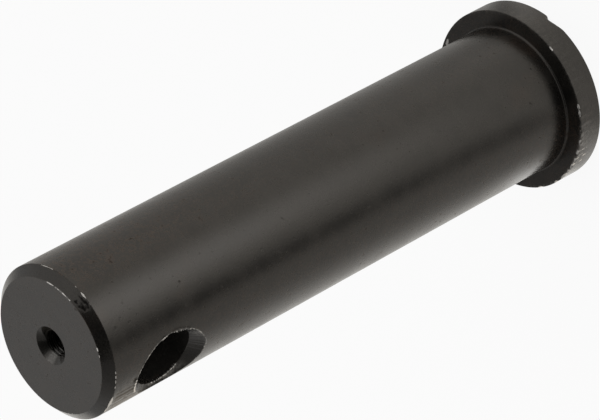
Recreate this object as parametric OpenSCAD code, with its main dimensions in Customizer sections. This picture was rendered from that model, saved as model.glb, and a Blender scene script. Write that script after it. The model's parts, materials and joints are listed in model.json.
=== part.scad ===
// Hitch pin: a turned steel shank with a flat round head, a countersunk cross hole near its tip
// and a tapped hole in the middle of its tip. It stands on its head, with +Z towards the tip.
// All sizes are in millimetres.

/* [Shank] */
// Diameter of the shank
shank_d = 32; // [24:0.5:48]
// Length of the shank, from the head's underside to the tip's face
shank_l = 129; // [60:1:240]

/* [Head] */
// How far the head stands out past the shank, all round
head_overhang = 3.8; // [2.4:0.1:12]
// Thickness of the head
head_t = 6; // [3:0.1:16]
// Radius that breaks the two edges of the head's rim
rim_r = 0.6; // [0.2:0.1:1]
// Radius of the fillet between the shank and the head's underside
fillet_r = 0.5; // [0.3:0.1:3]

/* [Tip] */
// Width of the tip's chamfer, across the radius
chamfer_w = 1.9; // [0.5:0.1:5]
// Length of the tip's chamfer, along the axis
chamfer_l = 1.8; // [0.5:0.1:5]

/* [Cross hole] */
// Diameter of the cross hole, with clearance for the bolt that goes through it
cross_d = 13.5; // [6:0.5:18]
// Distance from the tip's face to the cross hole's axis
cross_from_tip = 16.6; // [14:0.1:40]
// Width of the countersink round the cross hole, measured at the crest of the shank
sink_w = 2.3; // [0.5:0.1:3]
// Angle between opposite sides of the countersink's cone
sink_angle = 90; // [60:1:120]

/* [End hole] */
// Diameter of the tapping drill
end_drill_d = 5; // [3.3:0.1:10.2]
// Width of the countersink that leads into the thread, across the radius
end_entry_w = 1.5; // [0.2:0.1:2.5]
// Angle between opposite sides of that countersink
end_entry_angle = 90; // [60:1:120]

/* [Hidden] */
$fn = 96;

// How far a cut runs past the face that it opens
past = 1;

shank_r = shank_d / 2;
head_r = shank_r + head_overhang;
tip_z = head_t + shank_l;
cross_r = cross_d / 2;
cross_z = tip_z - cross_from_tip;
end_drill_r = end_drill_d / 2;

// Depth of a cone that widens by w, with the given angle between its opposite sides
function cone_depth(w, angle) = w / tan(angle / 2);

// Half section of the head, with both edges of its rim rounded
module head_section() {
    square([head_r - rim_r, head_t]);
    translate([0, rim_r])
        square([head_r, head_t - 2 * rim_r]);
    for (edge_z = [rim_r, head_t - rim_r])
        translate([head_r - rim_r, edge_z])
            circle(rim_r);
}

// Half section of the shank from the head's outer face up, chamfered at the tip
module shank_section() {
    polygon([
        [0, 0],
        [shank_r, 0],
        [shank_r, tip_z - chamfer_l],
        [shank_r - chamfer_w, tip_z],
        [0, tip_z]
    ]);
}

// Half section of the hollow fillet where the shank meets the head's underside
module fillet_section() {
    corner = [shank_r + fillet_r, head_t + fillet_r];
    difference() {
        square(corner);
        translate(corner)
            circle(fillet_r);
    }
}

// A drilled hole along +Z from the origin to its mouth at z = depth, with a cone that opens the mouth
module drilled_hole(r, depth, mouth_w, mouth_angle) {
    mouth_depth = cone_depth(mouth_w, mouth_angle);
    cylinder(r = r, h = depth + past);
    translate([0, 0, depth - mouth_depth])
        cylinder(
            r1 = r,
            r2 = r + (mouth_depth + past) * tan(mouth_angle / 2),
            h = mouth_depth + past
        );
}

// The cross hole, drilled right through along X and countersunk on both sides
module cross_hole() {
    translate([0, 0, cross_z])
        for (side = [-1, 1])
            rotate([0, 90 * side, 0])
                drilled_hole(cross_r, shank_r, sink_w, sink_angle);
}

// The hole down the tip's axis at tapping size, which opens into the cross hole
module end_hole() {
    translate([0, 0, cross_z])
        drilled_hole(end_drill_r, cross_from_tip, end_entry_w, end_entry_angle);
}

// The pin, turned in one piece and then drilled
module hitch_pin() {
    color([0.20, 0.20, 0.19])
        difference() {
            rotate_extrude() {
                head_section();
                shank_section();
                fillet_section();
            }
            cross_hole();
            end_hole();
        }
}

hitch_pin();
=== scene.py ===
"""Hitch pin: the dressed part, its studio and its camera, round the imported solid.

The pin stands on its head with +Z towards the tip, and its cross hole runs along X, as in the solid.
Shapes are worked out in millimetres and go into the mesh in metres. Every surface is a grid of points from
numpy, and neighbouring grids share the points of their common edge, so the pin is one closed skin.
"""

import json
import logging
import math
from dataclasses import dataclass
from enum import Enum
from typing import Protocol

import bpy
import numpy as np
from mathutils import Matrix, Vector
from numpy.typing import NDArray

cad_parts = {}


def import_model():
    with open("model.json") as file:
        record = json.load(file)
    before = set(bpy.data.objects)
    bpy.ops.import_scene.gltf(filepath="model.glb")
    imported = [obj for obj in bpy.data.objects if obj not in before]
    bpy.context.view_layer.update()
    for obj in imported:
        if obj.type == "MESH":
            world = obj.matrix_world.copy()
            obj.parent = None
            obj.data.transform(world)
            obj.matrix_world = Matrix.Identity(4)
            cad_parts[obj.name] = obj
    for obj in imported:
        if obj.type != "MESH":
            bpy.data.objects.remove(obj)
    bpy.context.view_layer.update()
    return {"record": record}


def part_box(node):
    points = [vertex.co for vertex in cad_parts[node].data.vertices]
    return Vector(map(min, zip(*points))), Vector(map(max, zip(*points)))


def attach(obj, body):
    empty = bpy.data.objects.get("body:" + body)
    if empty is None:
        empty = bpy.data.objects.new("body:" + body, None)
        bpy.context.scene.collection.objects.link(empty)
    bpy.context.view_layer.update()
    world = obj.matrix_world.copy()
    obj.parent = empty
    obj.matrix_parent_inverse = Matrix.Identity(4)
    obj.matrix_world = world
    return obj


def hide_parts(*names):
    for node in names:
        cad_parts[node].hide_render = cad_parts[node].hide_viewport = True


LOG = logging.getLogger("hitch_pin_scene")

Floats = NDArray[np.float64]
Ids = NDArray[np.int64]
Colour = tuple[float, float, float, float]
Span = tuple[float, float]
Ramp = tuple[float, float, float, float]

MM = 0.001
NODE = "hitch_pin"
BODY = "root"
WHITE: Colour = (1.0, 1.0, 1.0, 1.0)


class Crowd(Enum):
    """Where the points along a line stand close together."""

    EVEN = "even"
    START = "start"
    END = "end"
    BOTH = "both"


class Edge(Enum):
    """The edges of the pin that take knocks."""

    TIP_FACE = "between tip face and chamfer"
    TIP_CHAMFER = "between chamfer and shank"
    RIM_FRONT = "front of the head's rim"
    RIM_REAR = "rear of the head's rim"
    MOUTH_NEAR = "cross hole's mouth at +X"
    MOUTH_FAR = "cross hole's mouth at -X"


class Ridge(Enum):
    """The edges of the cross hole that carry a burr."""

    MOUTH = "where the countersink meets the shank"
    BORE = "where the bore meets the countersink"


def shares(count: int, crowd: Crowd, strength: float = 1.6) -> Floats:
    """Spaces values from 0 to 1, by a hyperbolic tangent where they crowd together.

    Args:
        count: How many values, both ends included.
        crowd: The end or ends where the values stand close.
        strength: How strongly they crowd.

    Returns:
        The values in rising order.
    """
    even = np.linspace(0.0, 1.0, count)
    scale = math.tanh(strength)
    if crowd is Crowd.START:
        return 1.0 + np.tanh(strength * (even - 1.0)) / scale
    if crowd is Crowd.END:
        return np.tanh(strength * even) / scale
    if crowd is Crowd.BOTH:
        return 0.5 + 0.5 * np.tanh(strength * (2.0 * even - 1.0)) / scale
    return even


def stretch(start: tuple[float, float], end: tuple[float, float], count: int, crowd: Crowd) -> Floats:
    """Lays points on a straight stretch of a half outline.

    Args:
        start: Radius and height where it starts.
        end: Radius and height where it ends; the next stretch has that point.
        count: How many points, without the end.
        crowd: Where they stand close together.

    Returns:
        Radius and height of each point, start + share * (end - start).
    """
    share = shares(count + 1, crowd)[:-1, None]
    return np.array(start) + share * (np.array(end) - np.array(start))


def bend(centre: tuple[float, float], radius: float, first: float, last: float, count: int) -> Floats:
    """Lays points on a round bend of a half outline.

    Args:
        centre: Radius and height of the bend's centre.
        radius: Radius of the bend.
        first: Angle in degrees where it starts, from outwards towards up.
        last: Angle where it ends; the next stretch has that point.
        count: How many points, without the end.

    Returns:
        Radius and height of each point, centre + radius * (cosine, sine) of an evenly spaced angle.
    """
    angle = np.radians(np.linspace(first, last, count + 1)[:-1])
    return np.array(centre) + radius * np.stack([np.cos(angle), np.sin(angle)], axis=-1)


def turned(outline: Floats, turns: Floats) -> Floats:
    """Carries a half outline round the Z axis.

    Args:
        outline: Radius and height of each point, row by row.
        turns: The angles of the columns, in radians.

    Returns:
        The grid (radius * cosine, radius * sine, height), rows by columns by three.
    """
    across = outline[:, :1] * np.cos(turns)
    along = outline[:, :1] * np.sin(turns)
    height = np.broadcast_to(outline[:, 1:], across.shape)
    return np.stack([across, along, height], axis=-1)


def smooth(value: Floats, low: float, high: float) -> Floats:
    """Rises from 0 at low to 1 at high as 3 t squared less 2 t cubed, and stays level outside.

    Args:
        value: Where it is taken.
        low: The value that gives 0.
        high: The value that gives 1.

    Returns:
        The share at each value.
    """
    share = np.clip((value - low) / (high - low), 0.0, 1.0)
    return share * share * (3.0 - 2.0 * share)


def wrapped(angle: Floats) -> Floats:
    """Brings angles in radians into the turn from minus pi to pi."""
    return (angle + math.pi) % math.tau - math.pi


def evenly_round(count: int) -> Floats:
    """Angles in radians, evenly round a turn from 0."""
    return np.arange(count) * (math.tau / count)


def bell(distance: Floats, width: float) -> Floats:
    """Falls off from 1 as exp(-(distance / width) squared)."""
    return np.exp(-((distance / width) ** 2))


def lifted(share: Floats, least: float) -> Floats:
    """Lifts a share that runs from 0 to 1, so that it runs from the least value to 1."""
    return least + (1.0 - least) * share


def cosine_fade(turn: Floats, middle: float, half_width: float) -> Floats:
    """Fades out as a squared cosine, from 1 in the middle of a sector to 0 at its sides.

    Args:
        turn: Where it is taken, in radians.
        middle: The sector's middle in degrees.
        half_width: Half the sector's width in degrees.

    Returns:
        The share at each turn.
    """
    away = np.abs(wrapped(turn - math.radians(middle))) / math.radians(half_width)
    return np.cos(0.5 * math.pi * np.clip(away, 0.0, 1.0)) ** 2


def unevenness(
    angle: Floats, seed: int, waves: int = 40, coarsest: int = 5, finest: int = 160, steps: int = 7201
) -> Floats:
    """Sums cosine waves that close on themselves round a turn.

    Args:
        angle: Where it is taken, in radians.
        seed: Picks the waves.
        waves: How many waves there are.
        coarsest: The fewest periods that a wave has in a turn.
        finest: The most periods, less one.
        steps: Places round the turn where the sum is worked out, straight between them.

    Returns:
        A value of about -1 to 1 at each angle.
    """
    draw = np.random.default_rng(seed)
    periods = draw.integers(coarsest, finest, waves)
    phases = draw.uniform(0.0, math.tau, waves)
    table = np.linspace(-math.pi, math.pi, steps)
    height = np.cos(np.outer(table, periods) + phases).sum(axis=1) / math.sqrt(waves)
    return np.interp(wrapped(angle), table, height)


def placed(name: str, data: bpy.types.ID) -> bpy.types.Object:
    """Makes an object of a mesh or a camera and links it to the scene.

    Args:
        name: The object's name.
        data: The mesh or camera.

    Returns:
        The object, at the origin.
    """
    item = bpy.data.objects.new(name, data)
    bpy.context.scene.collection.objects.link(item)
    return item


@dataclass(frozen=True)
class PinSizes:
    """The pin's sizes in millimetres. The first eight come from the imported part."""

    shank_r: float
    head_r: float
    head_t: float
    tip_z: float
    cross_r: float
    cross_z: float
    cross_half: float
    drill_r: float
    fillet_r: float = 0.5
    rim_r: float = 0.15
    chamfer_w: float = 1.9
    chamfer_l: float = 1.8
    arris_r: float = 0.16
    sink_slope: float = 1.0
    entry_w: float = 1.5
    entry_angle: float = 90.0
    thread_pitch: float = 1.0
    thread_depth: float = 0.5

    @classmethod
    def from_frame(cls, record: dict) -> "PinSizes":
        """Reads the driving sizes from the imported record's mounts and the solid's box.

        Args:
            record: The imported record.

        Returns:
            The sizes.
        """
        mounts = {mount["name"]: mount for mount in record["mounts"]}
        _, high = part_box(NODE)
        return cls(
            shank_r=mounts["shank"]["dims"]["r_mm"],
            head_r=round(min(high.x, high.y) / MM, 3),
            head_t=mounts["head_seat"]["pos_m"][2] / MM,
            tip_z=round(high.z / MM, 3),
            cross_r=mounts["cross_hole"]["dims"]["r_mm"],
            cross_z=mounts["cross_hole"]["pos_m"][2] / MM,
            cross_half=mounts["cross_hole"]["dims"]["length_mm"] / 2.0,
            drill_r=mounts["end_thread"]["dims"]["r_mm"],
        )

    @property
    def face_r(self) -> float:
        """Radius of the tip's flat face."""
        return self.shank_r - self.chamfer_w

    @property
    def chamfer_angle(self) -> float:
        """Angle of the chamfer's outward normal, in degrees up from outwards."""
        return math.degrees(math.atan2(self.chamfer_w, self.chamfer_l))

    def mouth_r(self, angle: Floats) -> Floats:
        """Radius of the cross hole's mouth, where its cone meets the round shank.

        On the cone x = radius / slope + offset, and on the shank x squared + y squared = shank_r squared with
        y = radius * cosine of the angle. Putting one into the other gives a quadratic for the radius.

        Args:
            angle: Turn about the hole's axis from +Y towards +Z, in radians.

        Returns:
            The radius at each angle.
        """
        offset = self.cross_half - self.cross_r / self.sink_slope
        square = 1.0 / self.sink_slope**2 + np.cos(angle) ** 2
        half = offset / self.sink_slope
        free = offset**2 - self.shank_r**2
        return (np.sqrt(half**2 - square * free) - half) / square

    def sink_x(self, radius: Floats) -> Floats:
        """Distance along the cross hole of its cone at a radius, half length + (radius - cross_r) / slope."""
        return self.cross_half + (radius - self.cross_r) / self.sink_slope

    def saddle_z(self, turn: Floats) -> Floats:
        """Height where the end hole meets the bore, cross_z + root of (cross_r squared - y squared)."""
        return self.cross_z + np.sqrt(self.cross_r**2 - (self.drill_r * np.sin(turn)) ** 2)


class Skin:
    """One closed skin, gathered from grids of numbered points."""

    def __init__(self) -> None:
        """Starts with no points and no faces."""
        self._points: list[Floats] = []
        self._faces: list[Ids] = []
        self._count = 0

    def add(self, points: Floats) -> Ids:
        """Adds points and numbers them.

        Args:
            points: Places in millimetres, with x, y, z on the last axis.

        Returns:
            The number of each point, in the same order and shape.
        """
        shape = points.shape[:-1]
        amount = math.prod(shape)
        ids = np.arange(self._count, self._count + amount).reshape(shape)
        self._points.append(points.reshape(-1, 3))
        self._count += amount
        return ids

    def cover(self, ids: Ids, open_cells: NDArray[np.bool_] | None = None) -> None:
        """Covers a grid that closes round its columns with four-sided faces.

        Args:
            ids: Numbers of the points, rows by columns.
            open_cells: Cells that stay open, rows less one by columns.
        """
        following = np.roll(ids, -1, axis=1)
        corners = (ids[:-1], following[:-1], following[1:], ids[1:])
        cells = np.stack(corners, axis=-1)
        if open_cells is not None:
            cells = cells[~open_cells]
        self._faces.append(cells.reshape(-1, 4))

    def zip_rings(self, many: Ids, few: Ids, inward: bool = True) -> None:
        """Joins a ring of many points to a ring of few by fans of triangles.

        Each point of the small ring takes the first half of its share of the large ring's steps, its
        follower takes the second half, and one triangle closes the gap between the two.

        Args:
            many: Numbers of the larger ring, a whole multiple of the smaller.
            few: Numbers of the smaller ring.
            inward: Whether the rows run from the larger ring to the smaller.
        """
        ratio = len(many) // len(few)
        middle = (ratio + 1) // 2
        steps = many.reshape(len(few), ratio)
        ends = np.roll(many, -1).reshape(len(few), ratio)
        follower = np.roll(few, -1)
        owner = np.where(np.arange(ratio) < middle, few[:, None], follower[:, None])
        fans = np.stack([steps, ends, owner], axis=-1).reshape(-1, 3)
        gaps = np.stack([ends[:, middle - 1], follower, few], axis=-1)
        triangles = np.concatenate([fans, gaps])
        self._faces.append(triangles if inward else triangles[:, ::-1])

    def cap(self, centre: Ids, ring: Ids) -> None:
        """Closes the skin's first ring by triangles to its centre point."""
        self._faces.append(np.stack([np.broadcast_to(centre, ring.shape), np.roll(ring, -1), ring], axis=-1))

    @property
    def points(self) -> Floats:
        """All points so far, in millimetres."""
        return np.concatenate(self._points)

    def mesh(self, name: str, points: Floats, values: dict[str, Floats]) -> bpy.types.Mesh:
        """Puts the skin into a mesh, without the points that no face uses.

        Args:
            name: The mesh's name.
            points: The final place of each point, in millimetres.
            values: Values to store at the points, by name.

        Returns:
            The mesh, in metres and shaded smooth.
        """
        corners = np.concatenate([group.ravel() for group in self._faces])
        sides = np.concatenate([np.full(len(group), group.shape[1]) for group in self._faces])
        used, numbers = np.unique(corners, return_inverse=True)
        mesh = bpy.data.meshes.new(name)
        mesh.vertices.add(len(used))
        mesh.loops.add(len(corners))
        mesh.polygons.add(len(sides))
        mesh.vertices.foreach_set("co", (points[used] * MM).astype(np.float32).ravel())
        mesh.loops.foreach_set("vertex_index", numbers.astype(np.int32))
        mesh.polygons.foreach_set("loop_start", (np.cumsum(sides) - sides).astype(np.int32))
        mesh.polygons.foreach_set("use_smooth", np.ones(len(sides), dtype=bool))
        mesh.update(calc_edges=True)
        mesh.validate()
        for label, value in values.items():
            stored = mesh.attributes.new(label, "FLOAT", "POINT")
            stored.data.foreach_set("value", value[used].astype(np.float32))
        return mesh


@dataclass(frozen=True)
class Head:
    """The flat round head: outer face, rim with two rounded edges, and underside."""

    sizes: PinSizes
    face_points: int = 10
    edge_points: int = 6
    rim_points: int = 18
    under_points: int = 10
    first_r: float = 1.0

    def outline(self) -> Floats:
        """Half outline from near the middle of the outer face to the foot of the fillet.

        Returns:
            Radius and height of each point.
        """
        s = self.sizes
        inner = s.head_r - s.rim_r
        upper = s.head_t - s.rim_r
        return np.concatenate([
            stretch((self.first_r, 0.0), (inner, 0.0), self.face_points, Crowd.END),
            bend((inner, s.rim_r), s.rim_r, -90.0, 0.0, self.edge_points),
            stretch((s.head_r, s.rim_r), (s.head_r, upper), self.rim_points, Crowd.BOTH),
            bend((inner, upper), s.rim_r, 0.0, 90.0, self.edge_points),
            stretch((inner, s.head_t), (s.shank_r + s.fillet_r, s.head_t), self.under_points, Crowd.BOTH),
        ])


@dataclass(frozen=True)
class Shank:
    """The shank: hollow fillet at its foot, plain body, and the window where the cross hole breaks out."""

    sizes: PinSizes
    columns: int = 360
    fillet_points: int = 10
    lower_points: int = 26
    upper_points: int = 10
    window_rows: int = 46
    window_columns: int = 74
    window_half: float = 11.5

    def outline(self) -> Floats:
        """Half outline from the foot of the fillet to the start of the chamfer's rounded edge.

        Returns:
            Radius and height of each point.
        """
        s = self.sizes
        corner = (s.shank_r + s.fillet_r, s.head_t + s.fillet_r)
        low = s.cross_z - self.window_half
        high = s.cross_z + self.window_half
        tangent = s.arris_r * math.tan(math.radians(s.chamfer_angle / 2.0))
        end = s.tip_z - s.chamfer_l - tangent
        return np.concatenate([
            bend(corner, s.fillet_r, -90.0, -180.0, self.fillet_points),
            stretch((s.shank_r, corner[1]), (s.shank_r, low), self.lower_points, Crowd.START),
            stretch((s.shank_r, low), (s.shank_r, high), self.window_rows, Crowd.EVEN),
            stretch((s.shank_r, high), (s.shank_r, end), self.upper_points, Crowd.END),
        ])

    @property
    def window_start(self) -> int:
        """Row of the shank's outline where the window starts."""
        return self.fillet_points + self.lower_points

    @property
    def turns(self) -> Floats:
        """Angles of the columns, evenly round the pin from +X."""
        return evenly_round(self.columns)

    def window_loop(self) -> tuple[Ids, Ids]:
        """Walks round the window at +X, counter-clockwise as seen from there.

        It starts half-way up the side that lies towards +Y, climbs it, crosses the top, comes down the
        other side and returns along the bottom.

        Returns:
            Row within the window and column from +X of each step.
        """
        side = self.window_columns // 2
        rows = np.arange(self.window_rows)
        columns = np.arange(self.window_columns)
        row = np.concatenate([
            rows,
            np.full(self.window_columns, self.window_rows),
            self.window_rows - rows,
            np.zeros(self.window_columns, dtype=int),
        ])
        column = np.concatenate([
            np.full(self.window_rows, side),
            side - columns,
            np.full(self.window_rows, -side),
            columns - side,
        ])
        start = -(self.window_rows // 2)
        return np.roll(row, start), np.roll(column, start)

    def open_cells(self, rows: int, first_row: int) -> NDArray[np.bool_]:
        """Marks the cells of the turned grid that lie in the two windows.

        Args:
            rows: Rows of the whole grid.
            first_row: Row of the grid where the shank's own outline starts.

        Returns:
            True where a cell stays open.
        """
        low = first_row + self.window_start
        row = np.arange(rows - 1)[:, None]
        inside = (row >= low) & (row < low + self.window_rows)
        side = self.window_columns // 2
        half = self.columns // 2
        column = (np.arange(self.columns) + side) % half
        return inside & (column < self.window_columns)[None, :]


@dataclass(frozen=True)
class Tip:
    """The chamfered tip: rounded edges, chamfer and the outer part of the flat face."""

    sizes: PinSizes
    edge_points: int = 4
    chamfer_points: int = 14
    face_points: int = 14
    zip_r: float = 6.2

    def outline(self) -> Floats:
        """Half outline from the chamfer's lower edge to the ring where the columns thin out.

        Returns:
            Radius and height of each point.
        """
        s = self.sizes
        angle = s.chamfer_angle
        low_run = s.arris_r * math.tan(math.radians(angle / 2.0))
        high_run = s.arris_r * math.tan(math.radians((90.0 - angle) / 2.0))
        low_centre = (s.shank_r - s.arris_r, s.tip_z - s.chamfer_l - low_run)
        high_centre = (s.face_r - high_run, s.tip_z - s.arris_r)
        normal = np.array([math.cos(math.radians(angle)), math.sin(math.radians(angle))])
        chamfer_start = tuple(np.array(low_centre) + s.arris_r * normal)
        chamfer_end = tuple(np.array(high_centre) + s.arris_r * normal)
        return np.concatenate([
            bend(low_centre, s.arris_r, 0.0, angle, self.edge_points),
            stretch(chamfer_start, chamfer_end, self.chamfer_points, Crowd.BOTH),
            bend(high_centre, s.arris_r, angle, 90.0, self.edge_points),
            stretch((high_centre[0], s.tip_z), (self.zip_r, s.tip_z), self.face_points, Crowd.START),
            np.array([[self.zip_r, s.tip_z]]),
        ])


@dataclass(frozen=True)
class CrossHole:
    """The cross hole: two mouths in the shank, two countersunk cones and the bore between them."""

    sizes: PinSizes
    shank: Shank
    patch_rows: int = 14
    patch_crowding: float = 1.9
    cone_rows: int = 10
    cone_crowding: float = 1.3
    lead_rows: int = 3
    lead_depth: float = 0.9
    thin_depth: float = 1.5
    wall_rows: int = 8
    window_turn: float = 90.0

    @property
    def steps(self) -> int:
        """Points round a mouth, as many as round a window."""
        return 2 * (self.shank.window_rows + self.shank.window_columns)

    @property
    def thin_steps(self) -> int:
        """Points round the bore, where every other column has ended."""
        return self.steps // 2

    @property
    def window_steps(self) -> int:
        """Steps along each side of the window where the end hole breaks in."""
        return round(self.thin_steps * self.window_turn / 360.0)

    @property
    def window_half(self) -> float:
        """Half width of that window along the bore, the same as half its chord across."""
        return self.sizes.cross_r * math.sin(math.radians(self.window_turn / 2.0))

    def side(self, sign: int) -> Floats:
        """Grid from a window in the shank through the mouth and down the cone into the bore.

        Each row keeps the same turns about the hole's axis. On the shank a point lies a share of the way from
        the window to the mouth, measured on the unrolled shank. On the cone the radius falls evenly to the
        bore's. In the bore only x changes.

        Args:
            sign: 1 for the mouth at +X, -1 for the one at -X.

        Returns:
            The grid without its first row, which is the window itself.
        """
        s = self.sizes
        angle = evenly_round(self.steps)
        row, column = self.shank.window_loop()
        pitch = 2.0 * self.shank.window_half / self.shank.window_rows
        start_turn = column * (math.tau / self.shank.columns)
        start_z = row * pitch - self.shank.window_half
        mouth = s.mouth_r(angle)
        mouth_turn = np.arcsin(mouth * np.cos(angle) / s.shank_r)
        share = shares(self.patch_rows + 1, Crowd.END, self.patch_crowding)[1:, None]
        turn = start_turn + share * (mouth_turn - start_turn)
        height = start_z + share * (mouth * np.sin(angle) - start_z)
        patch = np.stack([s.shank_r * np.cos(turn), s.shank_r * np.sin(turn), height], axis=-1)
        fall = shares(self.cone_rows + 1, Crowd.BOTH, self.cone_crowding)[1:, None]
        radius = mouth + fall * (s.cross_r - mouth)
        cone = np.stack([s.sink_x(radius), radius * np.cos(angle), radius * np.sin(angle)], axis=-1)
        depth = self.lead_depth * shares(self.lead_rows + 1, Crowd.START)[1:, None]
        wall_x = np.broadcast_to(s.cross_half - depth, (self.lead_rows, self.steps))
        wall_y = np.broadcast_to(s.cross_r * np.cos(angle), wall_x.shape)
        wall_z = np.broadcast_to(s.cross_r * np.sin(angle), wall_x.shape)
        grid = np.concatenate([patch, cone, np.stack([wall_x, wall_y, wall_z], axis=-1)])
        return grid * np.array([sign, 1.0, 1.0]) + np.array([0.0, 0.0, s.cross_z])

    def wall(self) -> Floats:
        """Grid of the bore's wall from +X to -X, on half as many columns.

        Returns:
            The grid (x, radius * cosine, radius * sine) about the hole's axis.
        """
        s = self.sizes
        angle = evenly_round(self.thin_steps)
        outer = np.linspace(s.cross_half - self.thin_depth, self.window_half, self.wall_rows + 1)[:-1]
        middle = np.linspace(self.window_half, -self.window_half, self.window_steps + 1)
        x = np.concatenate([outer, middle, -outer[::-1]])[:, None] * np.ones(self.thin_steps)
        y = np.broadcast_to(s.cross_r * np.cos(angle), x.shape)
        z = np.broadcast_to(s.cross_r * np.sin(angle) + s.cross_z, x.shape)
        return np.stack([x, y, z], axis=-1)

    def open_cells(self, rows: int) -> NDArray[np.bool_]:
        """Marks the cells of the wall where the end hole breaks in, at the side towards the tip.

        Args:
            rows: Rows of the wall's grid.

        Returns:
            True where a cell stays open.
        """
        row = np.arange(rows - 1)[:, None]
        column = np.arange(self.thin_steps)[None, :] - self.first_column
        in_rows = (row >= self.wall_rows) & (row < self.wall_rows + self.window_steps)
        return in_rows & (column >= 0) & (column < self.window_steps)

    @property
    def first_column(self) -> int:
        """Column of the wall where the end hole's window starts, half its turn before straight up."""
        return self.thin_steps // 4 - self.window_steps // 2

    def window_loop(self, ids: Ids) -> Ids:
        """Walks round the end hole's window, counter-clockwise as seen from the tip.

        It starts at the corner towards +X and -Y, and goes along +Y, -X, -Y and +X in turn.

        Args:
            ids: Numbers of the wall's points.

        Returns:
            The number of each point on the way.
        """
        steps = np.arange(self.window_steps)
        low, high = self.wall_rows, self.wall_rows + self.window_steps
        left, right = self.first_column, self.first_column + self.window_steps
        return np.concatenate([
            ids[low, right - steps],
            ids[low + steps, left],
            ids[high, left + steps],
            ids[high - steps, right],
        ])


@dataclass(frozen=True)
class EndHole:
    """The tapped hole in the tip: lead-in, thread and the edge where it breaks into the cross hole."""

    sizes: PinSizes
    cross: CrossHole
    face_points: int = 8
    edge_points: int = 3
    thread_points: int = 112
    thread_crowding: float = 0.9
    flank_angle: float = 30.0
    root_share: float = 0.0625
    saddle_rows: int = 4
    runout: float = 1.6
    start_turn: float = -45.0
    zip_r: float = 5.9
    edge_r: float = 0.12

    @property
    def turns(self) -> Floats:
        """Angles of the columns, which start where the window's loop does."""
        return math.radians(self.start_turn) + evenly_round(self.cross.thin_steps)

    def thread(self, turn: Floats, height: Floats) -> Floats:
        """Radius of the tapped wall.

        The groove follows a helix: its phase is height / pitch less turn / full turn. Across one pitch the
        profile rises by flanks of 30 degrees to a flat root and falls again to the flat crest at the drill's
        radius. Towards the cross hole the groove runs out.

        Args:
            turn: Turn about the pin's axis, in radians.
            height: Height above the head's outer face.

        Returns:
            The radius at each place.
        """
        s = self.sizes
        phase = (height / s.thread_pitch - turn / math.tau) % 1.0
        from_root = np.abs(phase - 0.5) * s.thread_pitch
        root_half = s.thread_pitch * self.root_share
        flank = s.thread_depth * math.tan(math.radians(self.flank_angle))
        groove = 1.0 - smooth(from_root, root_half, root_half + flank)
        fade = smooth(height - s.saddle_z(turn), 0.0, self.runout)
        return s.drill_r + s.thread_depth * groove * fade

    def rows(self) -> Floats:
        """Grid from the flat face, over the mouth's edge, down the lead-in and the thread to the cross hole.

        The wall's radius is the larger of the lead-in cone's and the thread's. Each column's heights run from
        the tip's face to the saddle curve where the drill meets the bore.

        Returns:
            The grid, rows by columns by three.
        """
        s = self.sizes
        lean = math.radians(s.entry_angle / 2.0)
        start_r = s.drill_r + s.entry_w + self.edge_r * math.tan(math.pi / 4.0 - lean / 2.0)
        centre = (start_r, s.tip_z - self.edge_r)
        flat = np.concatenate([
            stretch((self.zip_r, s.tip_z), (start_r, s.tip_z), self.face_points, Crowd.END),
            bend(centre, self.edge_r, 90.0, 180.0 - math.degrees(lean), self.edge_points),
        ])
        top = turned(flat, self.turns)
        cone_r = start_r - self.edge_r * math.cos(lean)
        cone_z = s.tip_z - self.edge_r * (1.0 - math.sin(lean))
        share = shares(self.thread_points, Crowd.START, self.thread_crowding)[:, None]
        height = cone_z + share * (s.saddle_z(self.turns) - cone_z)
        turn = np.broadcast_to(self.turns, height.shape)
        cone = cone_r - (cone_z - height) * math.tan(lean)
        radius = np.maximum(cone, self.thread(turn, height))
        wall = np.stack([radius * np.cos(turn), radius * np.sin(turn), height], axis=-1)
        return np.concatenate([top, wall])

    def saddle(self, loop: Floats) -> Floats:
        """Grid on the bore's wall from the drill's edge out to the window.

        A point lies a share of the way between the two, measured along the bore and round it.

        Args:
            loop: The window's points, in the order of the columns.

        Returns:
            The rows between the edge and the window, both left out.
        """
        s = self.sizes
        edge_x = s.drill_r * np.cos(self.turns)
        edge_roll = np.arcsin(s.drill_r * np.sin(self.turns) / s.cross_r)
        loop_roll = np.arctan2(loop[:, 1], loop[:, 2] - s.cross_z)
        share = np.linspace(0.0, 1.0, self.saddle_rows + 2)[1:-1, None]
        x = edge_x + share * (loop[:, 0] - edge_x)
        roll = edge_roll + share * (loop_roll - edge_roll)
        return np.stack([x, s.cross_r * np.sin(roll), s.cross_z + s.cross_r * np.cos(roll)], axis=-1)


@dataclass(frozen=True)
class Sector:
    """A sector about an axis, in degrees: whole up to one angle from its middle, and gone from another on."""

    middle: float
    whole: float
    gone: float

    def share(self, turn: Floats) -> Floats:
        """Share from 1 to 0 at each turn in radians, which falls smoothly with the angle from the middle."""
        away = np.degrees(np.abs(wrapped(turn - math.radians(self.middle))))
        return 1.0 - smooth(away, self.whole, self.gone)


@dataclass(frozen=True)
class Streaks:
    """A strength that is uneven round a turn: its mean and swing, its limits, and what picks its waves."""

    mean: float
    swing: float
    least: float
    most: float
    seed: int
    finest: int = 160

    def strength(self, turn: Floats) -> Floats:
        """Mean plus swing times the unevenness at each turn in radians, held between the limits."""
        uneven = unevenness(turn, self.seed, finest=self.finest)
        return np.clip(self.mean + self.swing * uneven, self.least, self.most)


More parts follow.
